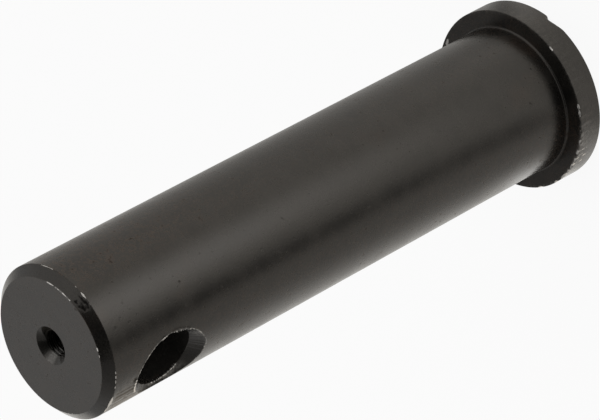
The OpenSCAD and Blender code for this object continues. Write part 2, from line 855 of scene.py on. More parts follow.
@dataclass(frozen=True)
class Places:
    """Points of the skin in millimetres, and where they stand about the pin's axis and the cross hole's."""

    sizes: PinSizes
    points: Floats
    tolerance: float = 0.01
    edge_fade: float = 0.3

    @property
    def reach(self) -> Floats:
        """Distance from the pin's axis."""
        return np.hypot(self.points[:, 0], self.points[:, 1])

    @property
    def turn(self) -> Floats:
        """Turn about the pin's axis from +X towards +Y, in radians."""
        return np.arctan2(self.points[:, 1], self.points[:, 0])

    @property
    def height(self) -> Floats:
        """Height above the head's outer face."""
        return self.points[:, 2]

    @property
    def near_side(self) -> NDArray[np.bool_]:
        """Whether each point lies on the side of the cross hole's mouth at +X."""
        return self.points[:, 0] > 0.0

    @property
    def bore_reach(self) -> Floats:
        """Distance from the cross hole's axis."""
        return np.hypot(self.points[:, 1], self.points[:, 2] - self.sizes.cross_z)

    @property
    def bore_turn(self) -> Floats:
        """Turn about the cross hole's axis from +Y towards +Z, in radians."""
        return np.arctan2(self.points[:, 2] - self.sizes.cross_z, self.points[:, 1])

    @property
    def in_cone(self) -> Floats:
        """1 on the cross hole's two countersunk cones, and 0 elsewhere."""
        from_cone = np.abs(self.points[:, 0]) - self.sizes.sink_x(self.bore_reach)
        return (np.abs(from_cone) < self.tolerance).astype(float)

    @property
    def on_chamfer(self) -> Floats:
        """1 on the tip's chamfer, fading out just inside its two edges, and 0 elsewhere."""
        s = self.sizes
        low = s.tip_z - s.chamfer_l
        above = smooth(self.height, low, low + self.edge_fade)
        return above * smooth(self.reach, s.face_r, s.face_r + self.edge_fade)

    def beside_mouth(self) -> tuple[Floats, Floats]:
        """Where each point stands beside the mouth on its own side of the pin.

        Returns:
            Offset from the mouth's edge at the point's turn about the hole, and the edge's outward direction
            half-way between the shank's normal and the cone's.
        """
        s = self.sizes
        angle = self.bore_turn
        sign = np.where(self.points[:, 0] < 0.0, -1.0, 1.0)
        mouth = s.mouth_r(angle)
        edge_x = sign * np.sqrt(s.shank_r**2 - (mouth * np.cos(angle)) ** 2)
        edge = np.stack([edge_x, mouth * np.cos(angle), mouth * np.sin(angle)], axis=-1)
        offset = self.points - np.array([0.0, 0.0, s.cross_z]) - edge
        shank_normal = edge * np.array([1.0, 1.0, 0.0]) / s.shank_r
        cone_normal = np.stack([sign, -np.cos(angle), -np.sin(angle)], axis=-1) / math.sqrt(2.0)
        outward = shank_normal + cone_normal
        return offset, outward / np.linalg.norm(outward, axis=1, keepdims=True)

    @property
    def from_mouth(self) -> Floats:
        """Distance from the edge of the mouth on the point's own side."""
        return np.linalg.norm(self.beside_mouth()[0], axis=1)


@dataclass(frozen=True)
class Chip:
    """A knock that took a flake out of an edge. Its turn is in degrees, its other sizes in millimetres."""

    edge: Edge
    turn: float
    length: float
    depth: float
    skew: float = 0.0
    bright: float = 1.0
    skew_power: float = 1.6

    def floor(self, turn: Floats, radius: float) -> Floats:
        """Depth of the chip's floor, a parabola along the edge.

        It is the depth times 1 less the square of the distance from the chip's middle over half its length.
        A skewed chip is steep on the side of larger turns and, raised to a higher power, fades out softly on
        the other.

        Args:
            turn: Turn about the edge's axis, in radians.
            radius: The edge's radius, which turns an angle into a length.

        Returns:
            The depth at each turn.
        """
        along = wrapped(turn - math.radians(self.turn)) * radius / (self.length / 2.0)
        along = (along - self.skew) / (1.0 - self.skew * np.sign(along - self.skew))
        return self.depth * np.clip(1.0 - along**2, 0.0, None) ** (1.0 + self.skew_power * self.skew)


@dataclass(frozen=True)
class StrayChips:
    """Very small chips at random places on all edges, on the side away from the listed knocks."""

    seed: int = 41
    count: int = 22
    turn: Span = (190.0, 320.0)
    length: Span = (0.5, 1.3)
    depth: Span = (0.02, 0.05)

    def chips(self) -> list[Chip]:
        """Draws the chips.

        Returns:
            The chips, with each size even between its limits.
        """
        draw = np.random.default_rng(self.seed)
        edges = list(Edge)
        picks = draw.integers(0, len(edges), self.count)
        turns = draw.uniform(*self.turn, self.count)
        lengths = draw.uniform(*self.length, self.count)
        depths = draw.uniform(*self.depth, self.count)
        rows = zip(picks, turns, lengths, depths)
        return [Chip(edges[pick], turn, length, depth) for pick, turn, length, depth in rows]


@dataclass(frozen=True)
class Burr:
    """A ragged ridge thrown up along an edge of the cross hole, between two turns in degrees."""

    ridge: Ridge
    start: float
    end: float
    height: float
    width: float
    bright: float = 1.0
    ragged: float = 0.4
    end_share: float = 0.25
    mean: float = 0.8
    least: float = 0.1
    most: float = 1.5
    seed: int = 61
    finest: int = 100
    bright_from: float = 0.2
    bright_to: float = 0.7

    def rise(self, angle: Floats, distance: Floats) -> Floats:
        """Height of the ridge, which is uneven along the edge and fades out at both ends and beside the edge.

        Args:
            angle: Turn about the hole's axis, in radians.
            distance: Distance from the edge.

        Returns:
            The height at each place.
        """
        turn = np.degrees(angle) % 360.0
        fade = self.end_share * (self.end - self.start)
        span = smooth(turn, self.start, self.start + fade) * (1.0 - smooth(turn, self.end - fade, self.end))
        streaks = Streaks(self.mean, self.ragged, self.least, self.most, self.seed, self.finest)
        return self.height * span * streaks.strength(angle) * bell(distance, self.width)

    def bare(self, rise: Floats) -> Floats:
        """Share of bright steel where the ridge has this height."""
        return self.bright * smooth(rise, self.bright_from * self.height, self.bright_to * self.height)


@dataclass(frozen=True)
class Dent:
    """A small hollow knocked into the pin. Its turn is in degrees, its other sizes in millimetres."""

    turn: float
    height: float
    width: float
    length: float
    depth: float

    def hollow(self, turn: Floats, height: Floats, radius: float) -> Floats:
        """Depth at each place, which falls off as exp(-(across / width) squared - (along / length) squared).

        Args:
            turn: Turn about the pin's axis, in radians.
            height: Height above the head's outer face.
            radius: Radius that turns an angle into a length.

        Returns:
            The depth.
        """
        across = wrapped(turn - math.radians(self.turn)) * radius / self.width
        along = (height - self.height) / self.length
        return self.depth * np.exp(-(across**2) - along**2)


@dataclass(frozen=True)
class PittedPatch:
    """A short stretch of the chamfer with pits close together. Degrees and millimetres."""

    seed: int = 94
    count: int = 30
    turn: Span = (69.0, 81.0)
    below_tip: Span = (0.25, 1.55)
    width: Span = (0.18, 0.34)
    length: Span = (0.10, 0.20)
    depth: Span = (0.03, 0.09)

    def pits(self, tip_z: float) -> list[Dent]:
        """Draws the pits.

        Args:
            tip_z: Height of the tip's face.

        Returns:
            The pits, with each size even between its limits.
        """
        draw = np.random.default_rng(self.seed)
        turns = draw.uniform(*self.turn, self.count)
        heights = tip_z - draw.uniform(*self.below_tip, self.count)
        widths = draw.uniform(*self.width, self.count)
        lengths = draw.uniform(*self.length, self.count)
        depths = draw.uniform(*self.depth, self.count)
        return [Dent(*row) for row in zip(turns, heights, widths, lengths, depths)]


KNOCKS = (
    Chip(Edge.TIP_FACE, 106.5, 2.6, 0.052),
    Chip(Edge.TIP_FACE, 97.3, 1.2, 0.042),
    Chip(Edge.TIP_FACE, 91.5, 2.2, 0.046),
    Chip(Edge.TIP_FACE, 85.0, 1.2, 0.030),
    Chip(Edge.TIP_FACE, 40.0, 1.2, 0.055),
    Chip(Edge.TIP_FACE, 34.0, 0.8, 0.036),
    Chip(Edge.TIP_CHAMFER, 118.5, 3.2, 0.060),
    Chip(Edge.TIP_CHAMFER, 112.5, 1.8, 0.045),
    Chip(Edge.TIP_CHAMFER, 87.5, 0.7, 0.045),
    Chip(Edge.TIP_CHAMFER, 79.5, 1.7, 0.085),
    Chip(Edge.TIP_CHAMFER, 72.0, 1.9, 0.036),
    Chip(Edge.TIP_CHAMFER, 20.0, 1.0, 0.060),
    Chip(Edge.TIP_CHAMFER, 16.5, 0.9, 0.064),
    Chip(Edge.TIP_CHAMFER, 12.5, 1.2, 0.062),
    Chip(Edge.TIP_CHAMFER, 8.0, 0.8, 0.056),
    Chip(Edge.TIP_CHAMFER, 352.0, 4.4, 0.140),
    Chip(Edge.TIP_CHAMFER, 343.0, 2.4, 0.070),
    Chip(Edge.TIP_CHAMFER, 195.0, 0.8, 0.060),
    Chip(Edge.RIM_FRONT, 75.0, 1.6, 0.17, 0.0, 0.9),
    Chip(Edge.RIM_FRONT, 35.5, 1.4, 0.26, 0.0, 0.9),
    Chip(Edge.RIM_FRONT, 31.5, 1.6, 0.28, 0.0, 0.9),
    Chip(Edge.RIM_FRONT, 26.0, 0.9, 0.14, 0.0, 0.4),
    Chip(Edge.RIM_FRONT, 19.0, 1.3, 0.24, 0.0, 0.4),
    Chip(Edge.RIM_FRONT, 12.0, 1.7, 0.26, 0.0, 0.6),
    Chip(Edge.RIM_FRONT, 4.0, 1.5, 0.29, 0.0, 0.7),
    Chip(Edge.RIM_FRONT, 358.0, 1.2, 0.24, 0.0, 0.9),
    Chip(Edge.RIM_FRONT, 352.0, 1.9, 0.31, 0.0, 0.8),
    Chip(Edge.RIM_FRONT, 347.0, 1.3, 0.26, 0.0, 0.9),
    Chip(Edge.RIM_FRONT, 341.0, 2.8, 0.29, 0.0, 0.8),
    Chip(Edge.RIM_FRONT, 332.0, 1.6, 0.26, 0.0, 0.9),
    Chip(Edge.RIM_FRONT, 317.0, 2.0, 0.22),
    Chip(Edge.RIM_REAR, 87.0, 6.0, 0.58, 0.8, 0.0),
    Chip(Edge.MOUTH_NEAR, 40.0, 3.6, 0.05, 0.0, 0.6),
    Chip(Edge.MOUTH_NEAR, 325.0, 2.6, 0.04, 0.0, 0.5),
    Chip(Edge.MOUTH_NEAR, 300.0, 1.2, 0.06),
)

BURRS = (
    Burr(Ridge.BORE, 160.0, 232.0, 0.20, 0.19, 0.85, 0.9),
    Burr(Ridge.MOUTH, 316.0, 364.0, 0.34, 0.28, 0.5),
    Burr(Ridge.MOUTH, 8.0, 24.0, 0.16, 0.30),
    Burr(Ridge.MOUTH, 20.0, 82.0, 0.07, 0.17, 0.6),
    Burr(Ridge.MOUTH, 76.0, 116.0, 0.15, 0.36),
    Burr(Ridge.MOUTH, 270.0, 289.0, 0.12, 0.20, 0.55),
)

DENTS = (
    Dent(4.5, 128.0, 0.65, 0.42, 0.11),
    Dent(-11.0, 129.3, 0.50, 0.55, 0.07),
    Dent(-17.0, 130.9, 0.45, 0.35, 0.05),
    Dent(-24.0, 127.2, 0.40, 0.60, 0.05),
)


class Layer(Protocol):
    """Something that use or making has left on the pin's surface, or light and shade painted on it."""

    def share(self, places: Places) -> Floats:
        """How strong the layer is at each place of the pin before wear."""


@dataclass(frozen=True)
class RubbedCoatAndLitEntry:
    """Where the coat is worn thin, and painted light: the mouths' lips, the tip face's edge and the end
    hole's entry.

    The lips are worn most on the side towards +Y, and the tip's edge where its chips stand in a row. The end
    hole's countersink and first thread on the side towards -Y are painted as bare steel: painted light.
    """

    lip_width: float = 0.15
    lip_side: Sector = Sector(12.0, 70.0, 95.0)
    lip_least: float = 0.3
    lip_streaks: Streaks = Streaks(0.65, 0.45, 0.05, 1.0, 72, 60)
    edge_width: float = 0.13
    edge_side: Sector = Sector(98.0, 9.0, 16.0)
    edge_streaks: Streaks = Streaks(0.6, 0.4, 0.0, 1.0, 71, 120)
    lit_entry_depth: float = 3.6
    lit_entry_side: Sector = Sector(281.0, 8.02, 21.77)
    lit_entry_share: float = 0.4

    def share(self, places: Places) -> Floats:
        """Share of worn coat and painted light, which falls off beside an edge as exp(-(distance / width)
        squared).

        Args:
            places: The pin before wear.

        Returns:
            A share from 0 to 1 at each place.
        """
        s = places.sizes
        lip = bell(places.from_mouth, self.lip_width) * self.lip_streaks.strength(places.bore_turn)
        lip *= lifted(self.lip_side.share(places.bore_turn), self.lip_least)
        edge = bell(np.hypot(places.reach - s.face_r, places.height - s.tip_z), self.edge_width)
        edge *= self.edge_side.share(places.turn) * self.edge_streaks.strength(places.turn)
        # Painted light: bare steel in the end hole's entry on the side towards -Y, where it looks lit.
        entry = (places.reach < s.drill_r + s.entry_w) & (places.height > s.tip_z - self.lit_entry_depth)
        lit_entry = self.lit_entry_share * entry * self.lit_entry_side.share(places.turn)
        return np.maximum.reduce([lip, edge, lit_entry])


@dataclass(frozen=True)
class Scuffs:
    """Where the surface is scuffed: the head's rim and the tip, which have dragged, and the torn cone."""

    rim_inset: Span = (0.7, 0.1)
    rear_height: float = 1.0
    rear_least: float = 0.25
    rim_side: Sector = Sector(-12.0, 26.0, 48.0)
    rim_least: float = 0.15
    rim_streaks: Streaks = Streaks(0.7, 0.5, 0.1, 1.0, 101)
    tip_side: Sector = Sector(-12.0, 8.0, 24.0)
    tip_run: Span = (12.0, 5.0)
    tip_inset: float = 0.2
    tip_share: float = 0.6
    torn_side: Sector = Sector(182.0, 25.0, 60.0)

    def share(self, places: Places) -> Floats:
        """Scuffed share: the largest of the rim's, the tip's and the cone's.

        Args:
            places: The pin before wear.

        Returns:
            A share from 0 to 1 at each place.
        """
        s = places.sizes
        rim = smooth(places.reach, s.head_r - self.rim_inset[0], s.head_r - self.rim_inset[1])
        rim *= lifted(smooth(places.height, self.rear_height, s.head_t), self.rear_least)
        rim *= self.rim_streaks.strength(places.turn)
        rim *= lifted(self.rim_side.share(places.turn), self.rim_least)
        tip = smooth(places.height, s.tip_z - self.tip_run[0], s.tip_z - self.tip_run[1])
        tip *= smooth(places.reach, s.shank_r - self.tip_inset, s.shank_r)
        tip *= self.tip_share * self.tip_side.share(places.turn)
        torn = places.in_cone * places.near_side * self.torn_side.share(places.bore_turn)
        return np.maximum.reduce([rim, tip, torn])


@dataclass(frozen=True)
class ScrapedHead:
    """Where the head is scraped bare: streaks along its rim, most at the front, and a graze under it."""

    rim_inset: Span = (0.4, 0.1)
    front_inset: float = 1.0
    rear_least: float = 0.3
    side: Sector = Sector(-14.0, 16.0, 36.0)
    streaks: Streaks = Streaks(0.35, 0.6, 0.0, 1.0, 102)
    most: float = 0.62
    graze_turn: float = 177.0
    graze_inset: float = 0.8
    graze_length: float = 1.0
    graze_width: float = 0.4

    def share(self, places: Places) -> Floats:
        """Scraped share. The graze falls off from its middle as exp(-(distance / size) squared) both ways.

        Args:
            places: The pin before wear.

        Returns:
            A share from 0 to about a half on the rim, and to 1 in the graze.
        """
        s = places.sizes
        rim = smooth(places.reach, s.head_r - self.rim_inset[0], s.head_r - self.rim_inset[1])
        rim *= lifted(smooth(places.height, self.front_inset, s.head_t - self.front_inset), self.rear_least)
        rim *= self.streaks.strength(places.turn) * self.side.share(places.turn)
        across = wrapped(places.turn - math.radians(self.graze_turn)) * s.head_r
        inward = places.reach - s.head_r + self.graze_inset
        graze = bell(across, self.graze_length) * bell(inward, self.graze_width)
        under = np.abs(places.height - s.head_t) < places.tolerance
        return np.maximum(self.most * rim, under * graze)


@dataclass(frozen=True)
class ToolMarks:
    """Marks of the countersink: lines straight down the cross hole's cones."""

    seed: int = 81
    finest: int = 110

    def share(self, places: Places) -> Floats:
        """Height of the lines at each place, about -1 to 1."""
        return places.in_cone * unevenness(places.bore_turn, self.seed, finest=self.finest)


@dataclass(frozen=True)
class BrownFilm:
    """A speckled brown film: most near the tip at +Y, some along +X and a little on the tip's face."""

    leading: Sector = Sector(140.0, 40.11, 68.75)
    foot_least: float = 0.3
    climb: Span = (75.0, 125.0)
    trailing: Sector = Sector(0.0, 17.19, 45.84)
    trailing_share: float = 0.55
    face_share: float = 0.25
    face_fade: float = 0.1
    edge_fade: float = 0.2
    chamfer_loss: float = 0.85

    def share(self, places: Places) -> Floats:
        """Share of film: the largest of the leading side's, the trailing side's and the face's.

        Args:
            places: The pin before wear.

        Returns:
            A share from 0 to 1 at each place.
        """
        s = places.sizes
        outside = smooth(places.reach, s.face_r, s.face_r + self.edge_fade)
        outside *= (1.0 - places.in_cone) * (1.0 - self.chamfer_loss * places.on_chamfer)
        along = lifted(smooth(places.height, *self.climb), self.foot_least)
        leading = self.leading.share(places.turn) * along
        trailing = self.trailing_share * self.trailing.share(places.turn)
        face = self.face_share * smooth(places.height, s.tip_z - self.face_fade, s.tip_z)
        return np.maximum.reduce([outside * leading, outside * trailing, face])


@dataclass(frozen=True)
class SootAndShade:
    """How dirty or polished the surface is, and painted shade: the end hole, the cross hole's near lip, the
    tip.

    The end hole is painted dark up to a wavy line on its cone, and polished above it: painted shade. A darker
    painted streak crosses the cone, and the painted shade stops a short way down the thread on one side,
    which stays lighter. A dark deposit lies also inside the cross hole's near lip on the side towards -Y, and
    in thin streaks between that hole and the tip. The chamfer is glossy.
    """

    below_face: float = 0.05
    line_turn: float = 135.0
    line_half: float = 80.0
    line_low: float = 0.25
    line_climb: float = 1.2
    line_fade: float = 0.15
    streak_side: Sector = Sector(230.0, 15.0, 26.0)
    streak_share: float = 0.62
    unshaded_side: Sector = Sector(281.0, 12.0, 30.0)
    unshaded_depth: Span = (3.2, 2.6)
    lip_side: Sector = Sector(178.0, 38.0, 62.0)
    lip_width: float = 0.45
    lip_share: float = 0.85
    smear_side: Sector = Sector(-16.0, 12.03, 22.92)
    smear_inset: float = 0.2
    smear_start: Span = (119.0, 124.0)
    smear_end: Span = (132.0, 133.0)
    smear_streaks: Streaks = Streaks(0.6, 0.5, 0.0, 1.0, 103)
    gloss: float = 0.7

    def in_end_hole(self, places: Places) -> Floats:
        """Painted shade in the end hole. The line's radius falls off from its highest place as a squared
        cosine.

        Args:
            places: The pin before wear.

        Returns:
            A value from -1, polished, to 1, painted shade, and 0 outside the hole.
        """
        s = places.sizes
        # Painted shade: the end hole's cone is darkened below a wavy line, and a darker streak crosses it.
        inside = (places.reach < s.drill_r + s.entry_w) & (places.height > s.cross_z)
        inside &= places.height < s.tip_z - self.below_face
        climb = self.line_climb * cosine_fade(places.turn, self.line_turn, self.line_half)
        above = smooth(places.reach - (s.drill_r + self.line_low + climb), -self.line_fade, self.line_fade)
        soot_and_shade = np.maximum(1.0 - above, self.streak_share * self.streak_side.share(places.turn))
        upper = smooth(places.height, s.tip_z - self.unshaded_depth[0], s.tip_z - self.unshaded_depth[1])
        soot_and_shade *= 1.0 - self.unshaded_side.share(places.turn) * upper
        return inside * (2.0 * soot_and_shade - 1.0)

    def in_lip(self, places: Places) -> Floats:
        """Soot inside the cross hole's near lip, which falls off as exp(-(distance / width) squared)."""
        lip = bell(places.from_mouth, self.lip_width) * places.near_side * places.in_cone
        return self.lip_share * lip * self.lip_side.share(places.bore_turn)

    def smeared(self, places: Places) -> Floats:
        """Soot in thin streaks along the shank, between the cross hole and the tip.

        Args:
            places: The pin before wear.

        Returns:
            A share from 0 to 1 at each place.
        """
        outside = (places.reach > places.sizes.shank_r - self.smear_inset) * (1.0 - places.in_cone)
        run = smooth(places.height, *self.smear_start) * (1.0 - smooth(places.height, *self.smear_end))
        across = self.smear_side.share(places.turn) * self.smear_streaks.strength(places.turn)
        return outside * run * across

    def share(self, places: Places) -> Floats:
        """Deposits and painted shade from 0 to 1, -1 on the end hole's polished cone, less than 0 on the
        chamfer.
        """
        darkening = self.in_end_hole(places) + self.in_lip(places) + self.smeared(places)
        return darkening - self.gloss * places.on_chamfer


@dataclass(frozen=True)
class BoreDust:
    """A thin even layer of dust in the cross hole's bore."""

    level: float = 0.085
    margin: float = 0.05

    def share(self, places: Places) -> Floats:
        """The layer's level in the bore, and 0 elsewhere."""
        return self.level * (places.bore_reach < places.sizes.cross_r + self.margin)


# Two of these layers also carry painted light and painted shade in the end hole.
LAYERS: dict[str, Layer] = {
    "rub": RubbedCoatAndLitEntry(),
    "scuff": Scuffs(),
    "tool": ToolMarks(),
    "film": BrownFilm(),
    "grime": SootAndShade(),
    "dusty": BoreDust(),
}


@dataclass(frozen=True)
class Wear:
    """What use has done to the pin: knocked edges, dents, pits and burrs, the layers on its surface, and
    painted light and shade in the end hole.
    """

    sizes: PinSizes
    knocks: tuple[Chip, ...] = KNOCKS
    stray: StrayChips = StrayChips()
    burrs: tuple[Burr, ...] = BURRS
    dents: tuple[Dent, ...] = DENTS
    pitted: PittedPatch = PittedPatch()
    scraped: ScrapedHead = ScrapedHead()
    seed: int = 41
    table_steps: int = 14401
    chip_reach: float = 1.4
    raggedness: float = 0.012
    bare_depth: float = 0.035
    mouth_width: float = 2.0
    burr_lean: float = 1.3
    dent_darkening: float = 0.8
    dent_depths: Span = (0.015, 0.06)
    pit_depths: Span = (0.010, 0.040)

    def depth(self, edge: Edge, radius: float, turn: Floats) -> tuple[Floats, Floats]:
        """How deep the knocks on one edge go, and how bright they are. Their floors are a little ragged.

        Args:
            edge: The edge.
            radius: The edge's radius, which turns an angle into a length.
            turn: Turn about the edge's axis, in radians.

        Returns:
            The depth at each turn, the largest of all the chips', and that chip's share of bright steel.
        """
        table = np.linspace(-math.pi, math.pi, self.table_steps)
        deepest = np.zeros_like(table)
        bright = np.zeros_like(table)
        for chip in [*self.knocks, *self.stray.chips()]:
            if chip.edge is edge:
                floor = chip.floor(table, radius)
                bright = np.where(floor > deepest, chip.bright, bright)
                deepest = np.maximum(deepest, floor)
        ragged = self.raggedness * unevenness(table, self.seed + list(Edge).index(edge))
        deepest = np.where(deepest > 0.0, np.clip(deepest + ragged, 0.0, None), 0.0)
        return np.interp(wrapped(turn), table, deepest), np.interp(wrapped(turn), table, bright)

    def rings(self) -> dict[Edge, tuple[float, float, float]]:
        """Radius and height of each turned edge, and the angle in degrees at which it points out and up."""
        s = self.sizes
        chamfer = s.chamfer_angle
        return {
            Edge.TIP_FACE: (s.face_r, s.tip_z, (chamfer + 90.0) / 2.0),
            Edge.TIP_CHAMFER: (s.shank_r, s.tip_z - s.chamfer_l, chamfer / 2.0),
            Edge.RIM_FRONT: (s.head_r, s.head_t, 45.0),
            Edge.RIM_REAR: (s.head_r, 0.0, -45.0),
        }

    def press_dents(self, places: Places) -> tuple[Floats, Floats]:
        """Presses the dents into the shank and the pits into the chamfer, straight in from the surface.

        Args:
            places: The pin before wear.

        Returns:
            The points with the dents, and the share by which the dents and pits are made darker.
        """
        s = self.sizes
        turn = places.turn
        on_shank = np.abs(places.reach - s.shank_r) < places.tolerance
        dents = [dent.hollow(turn, places.height, s.shank_r) for dent in self.dents]
        pits = [pit.hollow(turn, places.height, s.shank_r) for pit in self.pitted.pits(s.tip_z)]
        dented = on_shank * np.sum(dents, axis=0)
        pitted = np.max(pits, axis=0) * places.on_chamfer
        lean = math.radians(s.chamfer_angle)
        inward = dented + pitted * math.cos(lean)
        down = pitted * math.sin(lean)
        # The dents and pits are made darker.
        darkening = self.dent_darkening * smooth(dented, *self.dent_depths) + smooth(pitted, *self.pit_depths)
        return places.points - np.stack([inward * np.cos(turn), inward * np.sin(turn), down], axis=-1), darkening

    def plane_off(self, offset: Floats, outward: Floats, deep: Floats) -> Floats:
        """How far each point near an edge stands out past a chip's floor, along the outward direction.

        Args:
            offset: From the edge's nearest place to each point.
            outward: The edge's outward direction there.
            deep: Depth of the chip's floor there.

        Returns:
            The distance by which each point has to move back, 0 where there is no chip.
        """
        near = np.linalg.norm(offset, axis=1) < self.chip_reach
        excess = (offset * outward).sum(axis=1) + deep
        return np.where(near & (deep > 0.0), np.clip(excess, 0.0, None), 0.0)

    def knock_ring(self, points: Floats, edge: Edge) -> tuple[Floats, Floats]:
        """Planes the chips of a turned edge away.

        Args:
            points: Places in millimetres.
            edge: The edge.

        Returns:
            The places after the knocks, and the share of bright steel laid bare at each.
        """
        radius, height, angle = self.rings()[edge]
        turn = Places(self.sizes, points).turn
        across = np.stack([np.cos(turn), np.sin(turn), np.zeros_like(turn)], axis=-1)
        upward = np.array([0.0, 0.0, 1.0])
        deep, bright = self.depth(edge, radius, turn)
        outward = math.cos(math.radians(angle)) * across + math.sin(math.radians(angle)) * upward
        cut = self.plane_off(points - radius * across - height * upward, outward, deep)
        return points - cut[:, None] * outward, bright * smooth(cut, 0.0, self.bare_depth)

    def knock_mouth(self, points: Floats, edge: Edge) -> tuple[Floats, Floats]:
        """Planes the chips of one of the cross hole's mouths away.

        Args:
            points: Places in millimetres.
            edge: One of the two mouths.

        Returns:
            The places after the knocks, and the share of bright steel laid bare at each.
        """
        places = Places(self.sizes, points)
        offset, outward = places.beside_mouth()
        own_side = places.near_side == (edge is Edge.MOUTH_NEAR)
        deep, bright = self.depth(edge, self.sizes.cross_r + self.mouth_width, places.bore_turn)
        cut = self.plane_off(offset, outward, np.where(own_side, deep, 0.0))
        return points - cut[:, None] * outward, bright * smooth(cut, 0.0, self.bare_depth)

    def raise_burr(self, points: Floats, burr: Burr) -> tuple[Floats, Floats]:
        """Raises a burr on the near side of the cross hole.

        At the mouth it rises along the edge's outward direction, and at the bore inwards and towards +X.

        Args:
            points: Places in millimetres.
            burr: The burr.

        Returns:
            The places with the burr, and the share of bright steel at each.
        """
        s = self.sizes
        places = Places(s, points)
        angle = places.bore_turn
        offset, outward = places.beside_mouth()
        distance = np.linalg.norm(offset, axis=1)
        if burr.ridge is Ridge.BORE:
            distance = np.hypot(places.bore_reach - s.cross_r, points[:, 0] - s.cross_half)
            inward = np.stack([np.full_like(angle, self.burr_lean), -np.cos(angle), -np.sin(angle)], axis=-1)
            outward = inward / np.linalg.norm(inward, axis=1, keepdims=True)
        rise = np.where(places.near_side, burr.rise(angle, distance), 0.0)
        return points + rise[:, None] * outward, burr.bare(rise)

    def apply(self, points: Floats) -> tuple[Floats, dict[str, Floats]]:
        """Wears the pin.

        Args:
            points: Places in millimetres.

        Returns:
            The worn places, and the bare steel and each layer's share at each.
        """
        places = Places(self.sizes, points)
        layers = {name: layer.share(places) for name, layer in LAYERS.items()}
        bare = self.scraped.share(places)
        points, darkening = self.press_dents(places)
        layers["grime"] = np.where(darkening > 0.0, darkening, layers["grime"])
        for edge in self.rings():
            points, share = self.knock_ring(points, edge)
            bare = np.maximum(bare, share)
        for edge in (Edge.MOUTH_NEAR, Edge.MOUTH_FAR):
            points, share = self.knock_mouth(points, edge)
            bare = np.maximum(bare, share)
        for burr in self.burrs:
            points, share = self.raise_burr(points, burr)
            bare = np.maximum(bare, share)
        return points, {"bare": bare, **layers}


class Shader:
    """The node tree of a material or of the world, with short calls to add and link its nodes."""

    def __init__(self, owner: bpy.types.Material | bpy.types.World) -> None:
        """Empties the owner's node tree."""
        owner.use_nodes = True
        self._tree = owner.node_tree
        self._tree.nodes.clear()

    def node(self, kind: str, values: dict | None = None, **settings: object) -> bpy.types.Node:
        """Adds a node.

        Args:
            kind: Blender's name of the node.
            values: Values or incoming sockets for its inputs, by input name or number.
            settings: The node's own settings.

        Returns:
            The node.
        """
        node = self._tree.nodes.new(kind)
        for key, value in settings.items():
            setattr(node, key, value)
        for key, value in (values or {}).items():
            if isinstance(value, bpy.types.NodeSocket):
                self._tree.links.new(value, node.inputs[key])
            else:
                node.inputs[key].default_value = value
        return node

    def noise(self, place: bpy.types.NodeSocket, scale: float, detail: float) -> bpy.types.NodeSocket:
        """Adds a noise pattern of the given scale per metre and returns its value."""
        values = {"Vector": place, "Scale": scale, "Detail": detail}
        return self.node("ShaderNodeTexNoise", values).outputs["Fac"]

    def math(self, operation: str, first: object, second: object) -> bpy.types.NodeSocket:
        """Adds one step of arithmetic and returns its value."""
        return self.node("ShaderNodeMath", {0: first, 1: second}, operation=operation).outputs[0]

    def rise(self, value: bpy.types.NodeSocket, low: float, high: float, start: object = 0.0,
             end: object = 1.0) -> bpy.types.NodeSocket:
        """Maps low to high onto start to end, held level outside, and returns the value."""
        values = {"Value": value, "From Min": low, "From Max": high, "To Min": start, "To Max": end}
        return self.node("ShaderNodeMapRange", values, clamp=True).outputs["Result"]

    def mean(self, first: bpy.types.NodeSocket, second: bpy.types.NodeSocket) -> bpy.types.NodeSocket:
        """Adds the mean of two values and returns it."""
        return self.math("ADD", self.math("MULTIPLY", first, 0.5), self.math("MULTIPLY", second, 0.5))

    def mix(self, share: object, first: object, second: object) -> bpy.types.NodeSocket:
        """Mixes two colours by a share and returns the colour."""
        return self.node("ShaderNodeMixRGB", {"Fac": share, "Color1": first, "Color2": second}).outputs[0]

    def attribute(self, name: str) -> bpy.types.NodeSocket:
        """Reads one of the mesh's own point values."""
        return self.node("ShaderNodeAttribute", attribute_name=name).outputs["Fac"]


